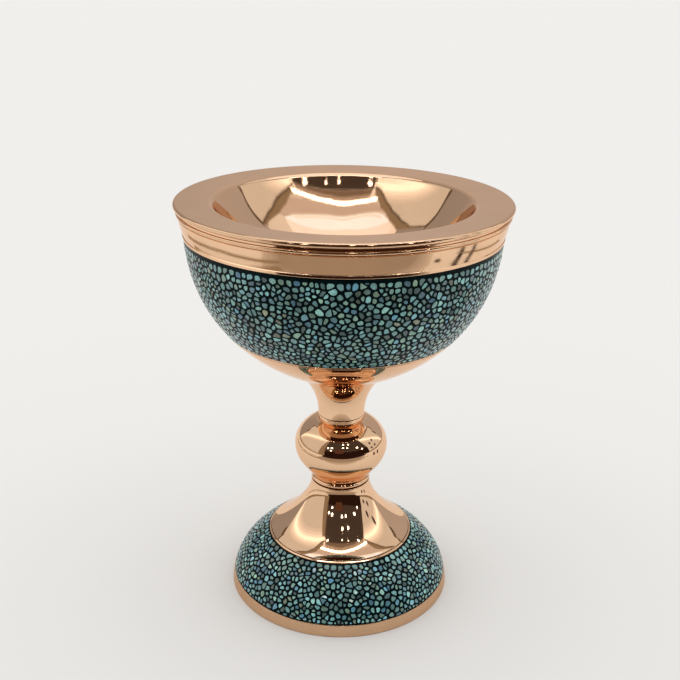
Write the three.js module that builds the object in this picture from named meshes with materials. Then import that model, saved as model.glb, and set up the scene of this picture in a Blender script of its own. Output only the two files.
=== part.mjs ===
import * as THREE from 'three';

// Turquoise-inlaid copper pedestal bowl, built up from spun shells on one tie rod.
// Millimetres, +Z up. The origin is on the table, on the axis of the bowl.

// Heights of the stacked pieces, from the table up
const BASE_RING_HEIGHT = 5.6;
const FOOT_DOME_HEIGHT = 22.7;
const FOOT_CONE_HEIGHT = 26.3;
const STEM_COLLAR_HEIGHT = 2.2;
const KNOP_LOWER_HEIGHT = 16.5;
const KNOP_UPPER_HEIGHT = 13.4;
const KNOP_LIP_HEIGHT = 2.1;
const NECK_HEIGHT = 20.1;
const BOWL_HEIGHT = 68.2;
const RIM_COLLAR_HEIGHT = 12.5;
const FLANGE_EDGE_HEIGHT = 2.2;

// Radii, and how far the flange and the rim collar stand out from what is under them
const FLANGE_RADIUS = 75;
const FLANGE_OVERHANG_WIDTH = 1.8;
const RIM_COLLAR_TAPER_WIDTH = 2.15;
const BASIN_MOUTH_RADIUS = 60.2;
const BOWL_SEAT_RADIUS = 16.4;
const NECK_TOP_RADIUS = 20.1;
const NECK_RADIUS = 11;
const KNOP_RADIUS = 22.2;
const KNOP_FOOT_RADIUS = 13.6;
const STEM_COLLAR_RADIUS = 14.1;
const FOOT_TOP_RADIUS = 14.1;
const FOOT_BORDER_RADIUS = 34.1;
const FOOT_DOME_RADIUS = 52.7;

// Curved outlines: the length of the handle at each end, and its angle in degrees
const BOWL_SIDE_HANDLE_LENGTH = 36.4;
const BOWL_SIDE_ANGLE = 3;
const BOWL_UNDERSIDE_HANDLE_LENGTH = 30.3;
const BOWL_UNDERSIDE_ANGLE = 20;
const FOOT_WAIST_HANDLE_LENGTH = 11.6;
const DOME_CROWN_HANDLE_LENGTH = 6.6;
const DOME_CROWN_ANGLE = 40.2;
const DOME_SIDE_HANDLE_LENGTH = 12.5;
const DOME_SIDE_ANGLE = 13.1;
const KNOP_FOOT_HANDLE_LENGTH = 7.5;
const KNOP_FOOT_ANGLE = 57;
const KNOP_LOWER_SIDE_HANDLE_LENGTH = 7.8;
const KNOP_UPPER_SIDE_HANDLE_LENGTH = 8.1;
const KNOP_SHOULDER_HANDLE_LENGTH = 2;
const KNOP_SHOULDER_ANGLE = 1;
const NECK_STRAIGHT_HANDLE_LENGTH = 10.1;
const NECK_FLARE_HANDLE_LENGTH = 6.1;
const NECK_FLARE_ANGLE = 48;
const BASIN_WALL_HANDLE_LENGTH = 18.2;
const BASIN_WALL_ANGLE = 32;
const BASIN_FLOOR_HANDLE_LENGTH = 31.2;

// Basin, its rolled shoulder and the rim. The flange falls a little towards the basin.
const BASIN_DEPTH = 37.1;
const SHOULDER_RADIUS = 3.4;
const FLANGE_DISH_DEPTH = 0.7;
const HEM_THICKNESS = 1;
const COLLAR_WALL_THICKNESS = 2.2;
const COLLAR_STEP_WIDTH = 0.4;
const COLLAR_BAND_HEIGHT = 1;
const BEAD_RADIUS = 0.8;
const BEAD_GROOVE_DEPTH = 0.35;
const EDGE_BREAK_WIDTH = 0.3;
const BASE_RING_STEP_WIDTH = 1;

// Sheet and inlay, measured square to the surface
const LINER_THICKNESS = 1.2;
const SHELL_THICKNESS = 1;
const STEM_THICKNESS = 1.2;
const STONE_THICKNESS = 1.5;
const STONE_GROOVE_DEPTH = 0.45;
const MASTIC_THICKNESS = 0.9;
const BORDER_WIRE_WIDTH = 1;

// Length of the bowl's inlaid band along the surface, wire excluded
const BOWL_BAND_LENGTH = 48;

// Tie rod and its fastenings
const ROD_RADIUS = 3;
const ROD_END_LENGTH = 2.5;
const NUT_WIDTH = 10;
const NUT_HEIGHT = 5;
const WASHER_THICKNESS = 1.5;
const BOWL_WASHER_RADIUS = 12;
const FOOT_WASHER_RADIUS = 9;
const SPIGOT_LENGTH = 3;

// Clearances: soldered or seated joints between pieces, and holes round the rod
const JOINT_GAP = 0.3;
const ROD_CLEARANCE = 0.4;

// Stones in each band. A modelled stone stands for about four chips of the real band.
const BOWL_COURSES = 9;
const BOWL_STONES_AROUND = 52;
const FOOT_COURSES = 5;
const FOOT_STONES_AROUND = 32;

// How far the corners of a stone stray and zigzag, as shares of a stone
const STONE_STRAY_SHARE = 0.3;
const STONE_ZIGZAG_SHARE = 0.14;

// Facets round the axis, and steps along the outlines
const WIDE_FACETS = 32;
const STEM_FACETS = 24;
const ROD_FACETS = 12;
const BOWL_BAND_STEPS = 4;
const FOOT_BAND_STEPS = 3;
const BASIN_STEPS = 6;
const CURVE_STEPS = 5;
const SHOULDER_STEPS = 3;
const ROUND_EDGE_STEPS = 4;

const COPPER = { color: 0xd9a06f, roughness: 0.16, metalness: 1 };
const SATIN_COPPER = { color: 0xb4947e, roughness: 0.42, metalness: 1 };
const TURQUOISE = { color: 0x4f8f8c, roughness: 0.3, metalness: 0 };
const MASTIC = { color: 0x0c1413, roughness: 0.4, metalness: 0 };
const STEEL = { color: 0x9a9a98, roughness: 0.4, metalness: 1 };

// Straight angles in degrees, for directions
const UP = 90;
const DOWN = -90;
const INWARD = 180;

// What fits what
const RIM_COLLAR_TOP_RADIUS = FLANGE_RADIUS - FLANGE_OVERHANG_WIDTH;
const BOWL_RADIUS = RIM_COLLAR_TOP_RADIUS - RIM_COLLAR_TAPER_WIDTH;
const TROUGH_DEPTH = STONE_THICKNESS + MASTIC_THICKNESS + 2 * JOINT_GAP;
const WIRE_SEAT_WIDTH = BORDER_WIRE_WIDTH + 2 * JOINT_GAP;
const LIP_RADIUS = RIM_COLLAR_TOP_RADIUS - COLLAR_WALL_THICKNESS - JOINT_GAP;
const ROD_HOLE_RADIUS = ROD_RADIUS + ROD_CLEARANCE;

// Levels, worked out from the stack
const level = {};
level.baseTop = BASE_RING_HEIGHT;
level.footBorder = level.baseTop + FOOT_DOME_HEIGHT;
level.footTop = level.footBorder + FOOT_CONE_HEIGHT;
level.collarBottom = level.footTop + JOINT_GAP;
level.collarTop = level.collarBottom + STEM_COLLAR_HEIGHT;
level.knopBottom = level.collarTop + JOINT_GAP;
level.knopEquator = level.knopBottom + KNOP_LOWER_HEIGHT;
level.knopShoulder = level.knopEquator + KNOP_UPPER_HEIGHT;
level.knopTop = level.knopShoulder + KNOP_LIP_HEIGHT;
level.neckBottom = level.knopTop + JOINT_GAP;
level.bowlSeat = level.neckBottom + NECK_HEIGHT;
level.bowlTop = level.bowlSeat + BOWL_HEIGHT;
level.rimCollarBottom = level.bowlTop + JOINT_GAP;
level.rimCollarTop = level.rimCollarBottom + RIM_COLLAR_HEIGHT;
level.hemBottom = level.rimCollarTop + JOINT_GAP;
level.flangeTop = level.hemBottom + FLANGE_EDGE_HEIGHT;
level.flangeUnderside = level.hemBottom + HEM_THICKNESS;

function point(r, z) {
  return new THREE.Vector2(r, z);
}

// A point at a distance from another, at an angle in degrees from +r towards +z
function polar(from, distance, degrees) {
  const angle = THREE.MathUtils.degToRad(degrees);
  return point(from.x + distance * Math.cos(angle), from.y + distance * Math.sin(angle));
}

// Points of an arc, both ends included
function arc(centre, radius, first, last, steps) {
  const points = [];
  for (let i = 0; i <= steps; i++) {
    points.push(polar(centre, radius, first + ((last - first) * i) / steps));
  }
  return points;
}

// Curved outlines run from the top down, so that the outside is on the left hand
function bowlCurve() {
  const top = point(BOWL_RADIUS, level.bowlTop);
  const seat = point(BOWL_SEAT_RADIUS, level.bowlSeat);
  const side = polar(top, BOWL_SIDE_HANDLE_LENGTH, DOWN - BOWL_SIDE_ANGLE);
  const underside = polar(seat, BOWL_UNDERSIDE_HANDLE_LENGTH, BOWL_UNDERSIDE_ANGLE);
  return new THREE.CubicBezierCurve(top, side, underside, seat);
}

function knopUpperCurve() {
  const top = point(NECK_RADIUS, level.knopShoulder);
  const widest = point(KNOP_RADIUS, level.knopEquator);
  const shoulder = polar(top, KNOP_SHOULDER_HANDLE_LENGTH, -KNOP_SHOULDER_ANGLE);
  const side = polar(widest, KNOP_UPPER_SIDE_HANDLE_LENGTH, UP);
  return new THREE.CubicBezierCurve(top, shoulder, side, widest);
}

function knopLowerCurve() {
  const widest = point(KNOP_RADIUS, level.knopEquator);
  const foot = point(KNOP_FOOT_RADIUS, level.knopBottom);
  const side = polar(widest, KNOP_LOWER_SIDE_HANDLE_LENGTH, DOWN);
  const rise = polar(foot, KNOP_FOOT_HANDLE_LENGTH, KNOP_FOOT_ANGLE);
  return new THREE.CubicBezierCurve(widest, side, rise, foot);
}

function footConeCurve() {
  const top = point(FOOT_TOP_RADIUS, level.footTop);
  const border = point(FOOT_BORDER_RADIUS, level.footBorder);
  const waist = polar(top, FOOT_WAIST_HANDLE_LENGTH, DOWN);
  return new THREE.QuadraticBezierCurve(top, waist, border);
}

function footDomeCurve() {
  const crown = point(FOOT_BORDER_RADIUS, level.footBorder);
  const skirt = point(FOOT_DOME_RADIUS, level.baseTop);
  const shoulder = polar(crown, DOME_CROWN_HANDLE_LENGTH, -DOME_CROWN_ANGLE);
  const side = polar(skirt, DOME_SIDE_HANDLE_LENGTH, UP + DOME_SIDE_ANGLE);
  return new THREE.CubicBezierCurve(crown, shoulder, side, skirt);
}

// Point at an arc length along a curve, sunk square to it by a depth
function sunk(curve, length, depth) {
  const share = THREE.MathUtils.clamp(length / curve.getLength(), 0, 1);
  const on = curve.getPointAt(share);
  const along = curve.getTangentAt(share);
  return point(on.x + along.y * depth, on.y - along.x * depth);
}

// Points from one arc length to another, both ends included
function stretch(curve, start, end, depth, steps) {
  const points = [];
  for (let i = 0; i <= steps; i++) {
    points.push(sunk(curve, start + ((end - start) * i) / steps, depth));
  }
  return points;
}

// Height of a curve that runs inward all the way, at a radius
function heightAt(curve, radius) {
  const halvings = 40;
  let outer = 0;
  let inner = 1;
  for (let i = 0; i < halvings; i++) {
    const middle = (outer + inner) / 2;
    if (curve.getPoint(middle).x > radius) {
      outer = middle;
    } else {
      inner = middle;
    }
  }
  return curve.getPoint(outer).y;
}

// Outline moved square to itself, each point by the mean of its two edges
function offsetOutline(outline, distance) {
  return outline.map((here, i) => {
    const before = outline[Math.max(i - 1, 0)];
    const after = outline[Math.min(i + 1, outline.length - 1)];
    const along = after.clone().sub(before).normalize();
    return point(here.x + along.y * distance, here.y - along.x * distance);
  });
}

function piece(name, geometry, finish) {
  const mesh = new THREE.Mesh(geometry, new THREE.MeshStandardMaterial(finish));
  mesh.name = name;
  return mesh;
}

// A turned piece: its section is closed on itself, or ends on the axis
function turned(name, section, finish, facets) {
  const profile = section.map((p) => p.clone());
  if (THREE.ShapeUtils.area(profile) < 0) {
    profile.reverse();
  }
  if (profile[0].x > 0 || profile[profile.length - 1].x > 0) {
    profile.push(profile[0].clone());
  }
  const geometry = new THREE.LatheGeometry(profile, facets);
  geometry.rotateX(Math.PI / 2);
  return piece(name, geometry, finish);
}

// Basin and flange, spun from one sheet, with the edge hemmed under
function basinLiner() {
  const round = FLANGE_EDGE_HEIGHT / 2;
  const flangeWidth = FLANGE_RADIUS - round - BASIN_MOUTH_RADIUS;
  const square = UP + THREE.MathUtils.radToDeg(Math.atan2(FLANGE_DISH_DEPTH, flangeWidth));
  const throat = point(BASIN_MOUTH_RADIUS, level.flangeTop - FLANGE_DISH_DEPTH - SHOULDER_RADIUS);
  const shoulder = arc(throat, SHOULDER_RADIUS, square, INWARD - BASIN_WALL_ANGLE, SHOULDER_STEPS);
  const wallTop = shoulder[shoulder.length - 1];
  const floor = point(0, level.flangeTop - BASIN_DEPTH);
  const wall = polar(wallTop, BASIN_WALL_HANDLE_LENGTH, DOWN - BASIN_WALL_ANGLE);
  const floorEdge = point(BASIN_FLOOR_HANDLE_LENGTH, floor.y);
  const basin = new THREE.CubicBezierCurve(wallTop, wall, floorEdge, floor);
  const inside = [...shoulder, ...stretch(basin, 0, basin.getLength(), 0, BASIN_STEPS).slice(1)];
  const outside = offsetOutline(inside, -LINER_THICKNESS);
  outside[0] = polar(throat, SHOULDER_RADIUS - LINER_THICKNESS, square);
  outside[outside.length - 1] = point(0, floor.y - LINER_THICKNESS);
  const edge = arc(point(FLANGE_RADIUS - round, level.hemBottom + round), round, DOWN, UP, ROUND_EDGE_STEPS);
  const hemRadius = LIP_RADIUS + JOINT_GAP;
  const hem = [
    point(LIP_RADIUS - SHELL_THICKNESS - JOINT_GAP, level.flangeUnderside),
    point(hemRadius, level.flangeUnderside),
    point(hemRadius, level.hemBottom),
  ];
  return turned('basin_liner', [...outside.reverse(), ...hem, ...edge, ...inside], COPPER, WIDE_FACETS);
}

// Ring round the lip: narrow band, bead, groove and a plain tapering band
function rimCollar() {
  const top = level.rimCollarTop;
  const bottom = level.rimCollarBottom;
  const outer = RIM_COLLAR_TOP_RADIUS;
  const beadTop = top - COLLAR_BAND_HEIGHT;
  const beadBottom = beadTop - 2 * BEAD_RADIUS;
  const lower = BOWL_RADIUS + COLLAR_STEP_WIDTH;
  const section = [
    point(LIP_RADIUS + JOINT_GAP, top),
    point(outer - EDGE_BREAK_WIDTH, top),
    point(outer, top - EDGE_BREAK_WIDTH),
    point(outer, beadTop),
    point(outer + BEAD_RADIUS, beadTop - BEAD_RADIUS),
    point(outer, beadBottom),
    point(outer - BEAD_GROOVE_DEPTH, beadBottom),
    point(outer, beadBottom - BEAD_GROOVE_DEPTH),
    point(lower, bottom + EDGE_BREAK_WIDTH),
    point(lower - EDGE_BREAK_WIDTH, bottom),
    point(BOWL_RADIUS - TROUGH_DEPTH + JOINT_GAP, bottom),
  ];
  return turned('rim_collar', section, COPPER, WIDE_FACETS);
}

// One line of the bowl's inlaid band at a depth, at the same steps on every layer
function bowlBandLine(curve, depth) {
  return stretch(curve, 0, BOWL_BAND_LENGTH, depth, BOWL_BAND_STEPS);
}

// The foot's band runs from its border wire to the base ring
function footBandLine(curve, depth) {
  return stretch(curve, WIRE_SEAT_WIDTH, curve.getLength() - JOINT_GAP, depth, FOOT_BAND_STEPS);
}

// Outer shell: lip, trough for the inlay, underside and a flat seat with the rod hole
function bowlShell(curve) {
  const seat = curve.getLength();
  const step = BOWL_BAND_LENGTH + WIRE_SEAT_WIDTH;
  const stepInside = step + SHELL_THICKNESS;
  const inner = TROUGH_DEPTH + SHELL_THICKNESS;
  const lipTop = level.flangeUnderside - JOINT_GAP;
  const section = [
    point(LIP_RADIUS - SHELL_THICKNESS, lipTop),
    point(LIP_RADIUS, lipTop),
    ...bowlBandLine(curve, TROUGH_DEPTH),
    sunk(curve, step, TROUGH_DEPTH),
    ...stretch(curve, step, seat, 0, CURVE_STEPS),
    point(ROD_HOLE_RADIUS, level.bowlSeat),
    point(ROD_HOLE_RADIUS, level.bowlSeat + SHELL_THICKNESS),
    ...stretch(curve, seat, stepInside, SHELL_THICKNESS, CURVE_STEPS),
    sunk(curve, stepInside, inner),
    ...bowlBandLine(curve, inner).reverse(),
  ];
  return turned('bowl_shell', section, COPPER, WIDE_FACETS);
}

// Wire soldered at the edge of a trough, level with the surface
function borderWire(name, curve, start) {
  const end = start + BORDER_WIRE_WIDTH;
  const deep = TROUGH_DEPTH - JOINT_GAP;
  const section = [sunk(curve, start, 0), sunk(curve, end, 0), sunk(curve, end, deep), sunk(curve, start, deep)];
  return turned(name, section, COPPER, WIDE_FACETS);
}

// Black mastic that the stones are bedded in
function masticBed(name, bandLine, curve) {
  const face = bandLine(curve, TROUGH_DEPTH - JOINT_GAP - MASTIC_THICKNESS);
  const back = bandLine(curve, TROUGH_DEPTH - JOINT_GAP);
  return turned(name, [...face, ...back.reverse()], MASTIC, WIDE_FACETS);
}

// Repeatable stray between -1 and 1 for a corner of a stone
function stray(seed) {
  const wave = Math.sin(seed * 12.9898) * 43758.5453;
  return 2 * (wave - Math.floor(wave)) - 1;
}

// Corners of the stones on one line between two courses. They lie at half steps of a stone, and
// the walls of the courses above and below meet the line by turns. The two outer lines are plain
// circles, with a corner at every other half step only.
function stoneCorners(band, line, addPoint) {
  const outerLine = line === 0 || line === band.courses;
  const present = line === 0 ? 0 : (band.courses - 1) % 2;
  const course = (band.end - band.start) / band.courses;
  const corners = [];
  for (let k = 0; k < 2 * band.around; k++) {
    let along = 0;
    let turn = 0;
    if (outerLine && k % 2 !== present) {
      continue;
    }
    if (!outerLine) {
      along = STONE_ZIGZAG_SHARE * (k % 2 === line % 2 ? 1 : -1);
      along += (STONE_STRAY_SHARE / 2) * stray(7.1 * k + 31.7 * line);
      turn = STONE_STRAY_SHARE * stray(3.3 * k + 17.9 * line);
    }
    const place = sunk(band.curve, band.start + (line + along) * course, outerLine ? 0 : STONE_GROOVE_DEPTH);
    corners[k] = addPoint(place, (k + turn) / 2);
  }
  return corners;
}

// A band of stones ground level with the copper. Each stone is an irregular five or six sided
// face that falls to a groove at its joints, and all stand on one back that follows the bed.
function stoneBand(name, band) {
  const vertices = [];
  const triangles = [];
  const addPoint = (place, stones) => {
    const turn = (2 * Math.PI * stones) / band.around;
    vertices.push(place.x * Math.cos(turn), place.x * Math.sin(turn), place.y);
    return vertices.length / 3 - 1;
  };
  const lines = [];
  for (let line = 0; line <= band.courses; line++) {
    lines.push(stoneCorners(band, line, addPoint));
  }
  for (let course = 0; course < band.courses; course++) {
    for (let i = 0; i < band.around; i++) {
      const k = 2 * i + (course % 2);
      const above = [k, k + 1, k + 2].map((n) => lines[course][n % (2 * band.around)]);
      const below = [k + 2, k + 1, k].map((n) => lines[course + 1][n % (2 * band.around)]);
      const sides = [...above, ...below].filter((corner) => corner !== undefined);
      const middle = band.start + ((course + 0.5) * (band.end - band.start)) / band.courses;
      const crown = addPoint(sunk(band.curve, middle, 0), (k + 1) / 2);
      sides.forEach((side, s) => triangles.push(crown, sides[(s + 1) % sides.length], side));
    }
  }
  const rings = [lines[0]];
  for (const place of band.back) {
    rings.push(Array.from({ length: band.around }, (unused, i) => addPoint(place, i)));
  }
  rings.push(lines[band.courses]);
  const backRings = rings.map((ring) => ring.filter((corner) => corner !== undefined));
  for (let j = 0; j + 1 < backRings.length; j++) {
    for (let i = 0; i < band.around; i++) {
      const next = (i + 1) % band.around;
      triangles.push(backRings[j][i], backRings[j][next], backRings[j + 1][i]);
      triangles.push(backRings[j][next], backRings[j + 1][next], backRings[j + 1][i]);
    }
  }
  const shared = new THREE.BufferGeometry();
  shared.setAttribute('position', new THREE.Float32BufferAttribute(vertices, 3));
  shared.setIndex(triangles);
  const geometry = shared.toNonIndexed();
  geometry.computeVertexNormals();
  return piece(name, geometry, TURQUOISE);
}

// Trumpet between the knop and the bowl, flared to meet the bowl's underside
function stemNeck(bowl) {
  const topOuter = point(NECK_TOP_RADIUS, heightAt(bowl, NECK_TOP_RADIUS) - JOINT_GAP);
  const bottomOuter = point(NECK_RADIUS, level.neckBottom);
  const straight = polar(bottomOuter, NECK_STRAIGHT_HANDLE_LENGTH, UP);
  const flare = polar(topOuter, NECK_FLARE_HANDLE_LENGTH, INWARD + NECK_FLARE_ANGLE);
  const curve = new THREE.CubicBezierCurve(topOuter, flare, straight, bottomOuter);
  const outside = stretch(curve, 0, curve.getLength(), 0, CURVE_STEPS);
  const inside = stretch(curve, 0, curve.getLength(), STEM_THICKNESS, CURVE_STEPS);
  const topWidth = STEM_THICKNESS / Math.sin(THREE.MathUtils.degToRad(NECK_FLARE_ANGLE));
  const topInner = NECK_TOP_RADIUS - topWidth;
  inside[0] = point(topInner, heightAt(bowl, topInner) - JOINT_GAP);
  return turned('stem_neck', [...outside, ...inside.reverse()], COPPER, STEM_FACETS);
}

// Upper half of the hollow knop, with a lip under the neck and a spigot that centres it
function knopUpperHalf() {
  const curve = knopUpperCurve();
  const outside = stretch(curve, 0, curve.getLength(), 0, CURVE_STEPS);
  const inside = stretch(curve, curve.getLength(), 0, STEM_THICKNESS, CURVE_STEPS);
  inside[0].y = level.knopEquator;
  const spigot = NECK_RADIUS - STEM_THICKNESS - JOINT_GAP;
  const bore = spigot - STEM_THICKNESS;
  const spigotTop = level.knopTop + SPIGOT_LENGTH;
  const section = [
    ...outside,
    ...inside,
    point(bore, inside[inside.length - 1].y),
    point(bore, spigotTop),
    point(spigot, spigotTop),
    point(spigot, level.knopTop),
    point(NECK_RADIUS, level.knopTop),
  ];
  return turned('knop_upper_half', section, COPPER, STEM_FACETS);
}

// Lower half of the knop, closed by a seat that the rod passes through
function knopLowerHalf() {
  const curve = knopLowerCurve();
  const outside = stretch(curve, 0, curve.getLength(), 0, CURVE_STEPS);
  const inside = stretch(curve, curve.getLength(), 0, STEM_THICKNESS, CURVE_STEPS).slice(1);
  inside[inside.length - 1].y = level.knopEquator;
  const seatTop = level.knopBottom + STEM_THICKNESS;
  const section = [
    ...outside,
    point(ROD_HOLE_RADIUS, level.knopBottom),
    point(ROD_HOLE_RADIUS, seatTop),
    point(KNOP_FOOT_RADIUS - STEM_THICKNESS, seatTop),
    ...inside,
  ];
  return turned('knop_lower_half', section, COPPER, STEM_FACETS);
}

// Half-round ring between the knop and the foot
function stemCollar() {
  const round = STEM_COLLAR_HEIGHT / 2;
  const nose = point(STEM_COLLAR_RADIUS - round, level.collarBottom + round);
  const section = [
    point(ROD_HOLE_RADIUS, level.collarBottom),
    ...arc(nose, round, DOWN, UP, ROUND_EDGE_STEPS),
    point(ROD_HOLE_RADIUS, level.collarTop),
  ];
  return turned('stem_collar', section, COPPER, STEM_FACETS);
}

// Foot shell: top seat, trumpet cone, domed trough and a skirt inside the base ring
function footShell(cone, dome) {
  const coneEnd = cone.getLength();
  const domeEnd = dome.getLength();
  const inner = TROUGH_DEPTH + SHELL_THICKNESS;
  const skirt = sunk(dome, domeEnd, TROUGH_DEPTH);
  const skirtInside = sunk(dome, domeEnd, inner);
  const coneInside = stretch(cone, STEM_THICKNESS, coneEnd, SHELL_THICKNESS, CURVE_STEPS);
  const section = [
    point(ROD_HOLE_RADIUS, level.footTop),
    ...stretch(cone, 0, coneEnd, 0, CURVE_STEPS),
    sunk(dome, 0, TROUGH_DEPTH),
    ...footBandLine(dome, TROUGH_DEPTH),
    skirt,
    point(skirt.x, JOINT_GAP),
    point(skirtInside.x, JOINT_GAP),
    skirtInside,
    ...footBandLine(dome, inner).reverse(),
    sunk(cone, coneEnd - SHELL_THICKNESS, inner),
    ...coneInside.slice(0, -1).reverse(),
    point(ROD_HOLE_RADIUS, level.footTop - STEM_THICKNESS),
  ];
  return turned('foot_shell', section, COPPER, WIDE_FACETS);
}

// Heavy ring round the skirt, which the bowl stands on and which closes the trough below
function baseRing(dome) {
  const inner = sunk(dome, dome.getLength(), TROUGH_DEPTH).x + JOINT_GAP;
  const shelf = sunk(dome, dome.getLength(), TROUGH_DEPTH - JOINT_GAP);
  const outer = FOOT_DOME_RADIUS + BASE_RING_STEP_WIDTH;
  const section = [
    point(inner, 0),
    point(outer - EDGE_BREAK_WIDTH, 0),
    point(outer, EDGE_BREAK_WIDTH),
    point(FOOT_DOME_RADIUS, level.baseTop),
    point(inner, shelf.y),
  ];
  return turned('base_ring', section, SATIN_COPPER, WIDE_FACETS);
}

// Rod from the nut inside the foot to the nut inside the double-walled bowl
function tieRod(bottom, top) {
  const bevelled = ROD_RADIUS - EDGE_BREAK_WIDTH;
  const section = [
    point(0, bottom),
    point(bevelled, bottom),
    point(ROD_RADIUS, bottom + EDGE_BREAK_WIDTH),
    point(ROD_RADIUS, top - EDGE_BREAK_WIDTH),
    point(bevelled, top),
    point(0, top),
  ];
  return turned('tie_rod', section, STEEL, ROD_FACETS);
}

function washer(name, bottom, radius) {
  const top = bottom + WASHER_THICKNESS;
  const section = [
    point(ROD_HOLE_RADIUS, bottom),
    point(radius, bottom),
    point(radius, top),
    point(ROD_HOLE_RADIUS, top),
  ];
  return turned(name, section, STEEL, STEM_FACETS);
}

function nut(name, bottom) {
  const sides = 6;
  const cornerRadius = NUT_WIDTH / 2 / Math.cos(Math.PI / sides);
  const corners = arc(point(0, 0), cornerRadius, 0, 360, sides).slice(0, sides);
  const outline = new THREE.Shape(corners);
  const bore = new THREE.Path();
  bore.absarc(0, 0, ROD_HOLE_RADIUS, 0, 2 * Math.PI, true);
  outline.holes.push(bore);
  const options = { depth: NUT_HEIGHT, bevelEnabled: false, curveSegments: ROD_FACETS };
  const mesh = piece(name, new THREE.ExtrudeGeometry(outline, options), STEEL);
  mesh.position.z = bottom;
  return mesh;
}

// Bowl: liner, rim collar and outer shell, with the inlay in the shell's trough
function bowlPieces(bowl) {
  const band = {
    curve: bowl,
    start: 0,
    end: BOWL_BAND_LENGTH,
    courses: BOWL_COURSES,
    around: BOWL_STONES_AROUND,
    back: bowlBandLine(bowl, STONE_THICKNESS),
  };
  const group = new THREE.Group();
  group.add(basinLiner(), rimCollar(), bowlShell(bowl));
  group.add(borderWire('bowl_border_wire', bowl, band.end + JOINT_GAP));
  group.add(masticBed('bowl_mastic_bed', bowlBandLine, bowl));
  group.add(stoneBand('bowl_turquoise_inlay', band));
  return group;
}

function stemPieces(bowl) {
  const group = new THREE.Group();
  group.add(stemNeck(bowl), knopUpperHalf(), knopLowerHalf(), stemCollar());
  return group;
}

// Foot: shell with the inlay in its trough, on the base ring
function footPieces(cone, dome) {
  const band = {
    curve: dome,
    start: WIRE_SEAT_WIDTH,
    end: dome.getLength() - JOINT_GAP,
    courses: FOOT_COURSES,
    around: FOOT_STONES_AROUND,
    back: footBandLine(dome, STONE_THICKNESS),
  };
  const group = new THREE.Group();
  group.add(footShell(cone, dome), baseRing(dome));
  group.add(borderWire('foot_border_wire', dome, JOINT_GAP));
  group.add(masticBed('foot_mastic_bed', footBandLine, dome));
  group.add(stoneBand('foot_turquoise_inlay', band));
  return group;
}

// Tie rod with a washer and a nut at each end
function fastenings() {
  const footWasherBottom = level.footTop - STEM_THICKNESS - JOINT_GAP - WASHER_THICKNESS;
  const footNutBottom = footWasherBottom - JOINT_GAP - NUT_HEIGHT;
  const bowlWasherBottom = level.bowlSeat + SHELL_THICKNESS + JOINT_GAP;
  const bowlNutBottom = bowlWasherBottom + WASHER_THICKNESS + JOINT_GAP;
  const group = new THREE.Group();
  group.add(tieRod(footNutBottom - ROD_END_LENGTH, bowlNutBottom + NUT_HEIGHT + ROD_END_LENGTH));
  group.add(washer('foot_washer', footWasherBottom, FOOT_WASHER_RADIUS), nut('foot_nut', footNutBottom));
  group.add(washer('bowl_washer', bowlWasherBottom, BOWL_WASHER_RADIUS), nut('bowl_nut', bowlNutBottom));
  return group;
}

function build() {
  const bowl = bowlCurve();
  const whole = new THREE.Group();
  whole.add(bowlPieces(bowl), stemPieces(bowl), footPieces(footConeCurve(), footDomeCurve()), fastenings());
  return whole;
}

export default build();
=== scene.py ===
import math

import bpy
import numpy as np
from mathutils import Matrix, Vector
from mathutils.geometry import delaunay_2d_cdt


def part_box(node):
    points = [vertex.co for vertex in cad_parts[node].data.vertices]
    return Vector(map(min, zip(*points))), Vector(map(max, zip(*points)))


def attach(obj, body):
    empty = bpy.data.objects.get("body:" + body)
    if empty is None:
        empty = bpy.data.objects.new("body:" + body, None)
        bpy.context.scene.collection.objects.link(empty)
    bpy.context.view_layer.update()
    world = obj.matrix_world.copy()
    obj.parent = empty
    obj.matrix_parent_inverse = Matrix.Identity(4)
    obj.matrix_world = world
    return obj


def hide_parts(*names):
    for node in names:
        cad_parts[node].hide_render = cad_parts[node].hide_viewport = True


# Turquoise-inlaid copper pedestal bowl in a white light tent. Metres, +Z up.
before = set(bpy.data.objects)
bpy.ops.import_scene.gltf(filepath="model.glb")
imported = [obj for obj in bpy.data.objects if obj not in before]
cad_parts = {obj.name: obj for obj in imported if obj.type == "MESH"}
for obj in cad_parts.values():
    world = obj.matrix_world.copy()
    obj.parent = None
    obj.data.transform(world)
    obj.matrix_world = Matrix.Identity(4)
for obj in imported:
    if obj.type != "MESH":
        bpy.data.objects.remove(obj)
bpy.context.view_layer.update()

MM = 0.001
PICTURE_SIDE = 680


def low(node):
    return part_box(node)[0].z


def high(node):
    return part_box(node)[1].z


def reach(node):
    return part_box(node)[1].x


# Sheet, gaps and inlay
GAP = 0.3 * MM
LINER = 1.2 * MM
SHELL = 1.0 * MM
STEM = 1.2 * MM
TROUGH = 3.0 * MM
WIRE_WIDTH = 1.0 * MM
WIRE_SEAT = WIRE_WIDTH + 2 * GAP
EDGE = 0.3 * MM
WIRE_EDGE = 0.25 * MM
BASE_EDGE = 0.2 * MM
STEP_EDGE = 0.15 * MM
CONE_EDGE = 0.12 * MM
FINE_EDGE = 0.1 * MM

# Where an edge is rounded: how far on its direction is taken, and where the outline goes on
CORNER_GUIDE = 2 * MM
STEP_RUN_IN = 0.5 * MM
FOOT_SEAT_RUN_IN = 1 * MM
CONE_RUN_OUT = 0.4 * MM

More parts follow.
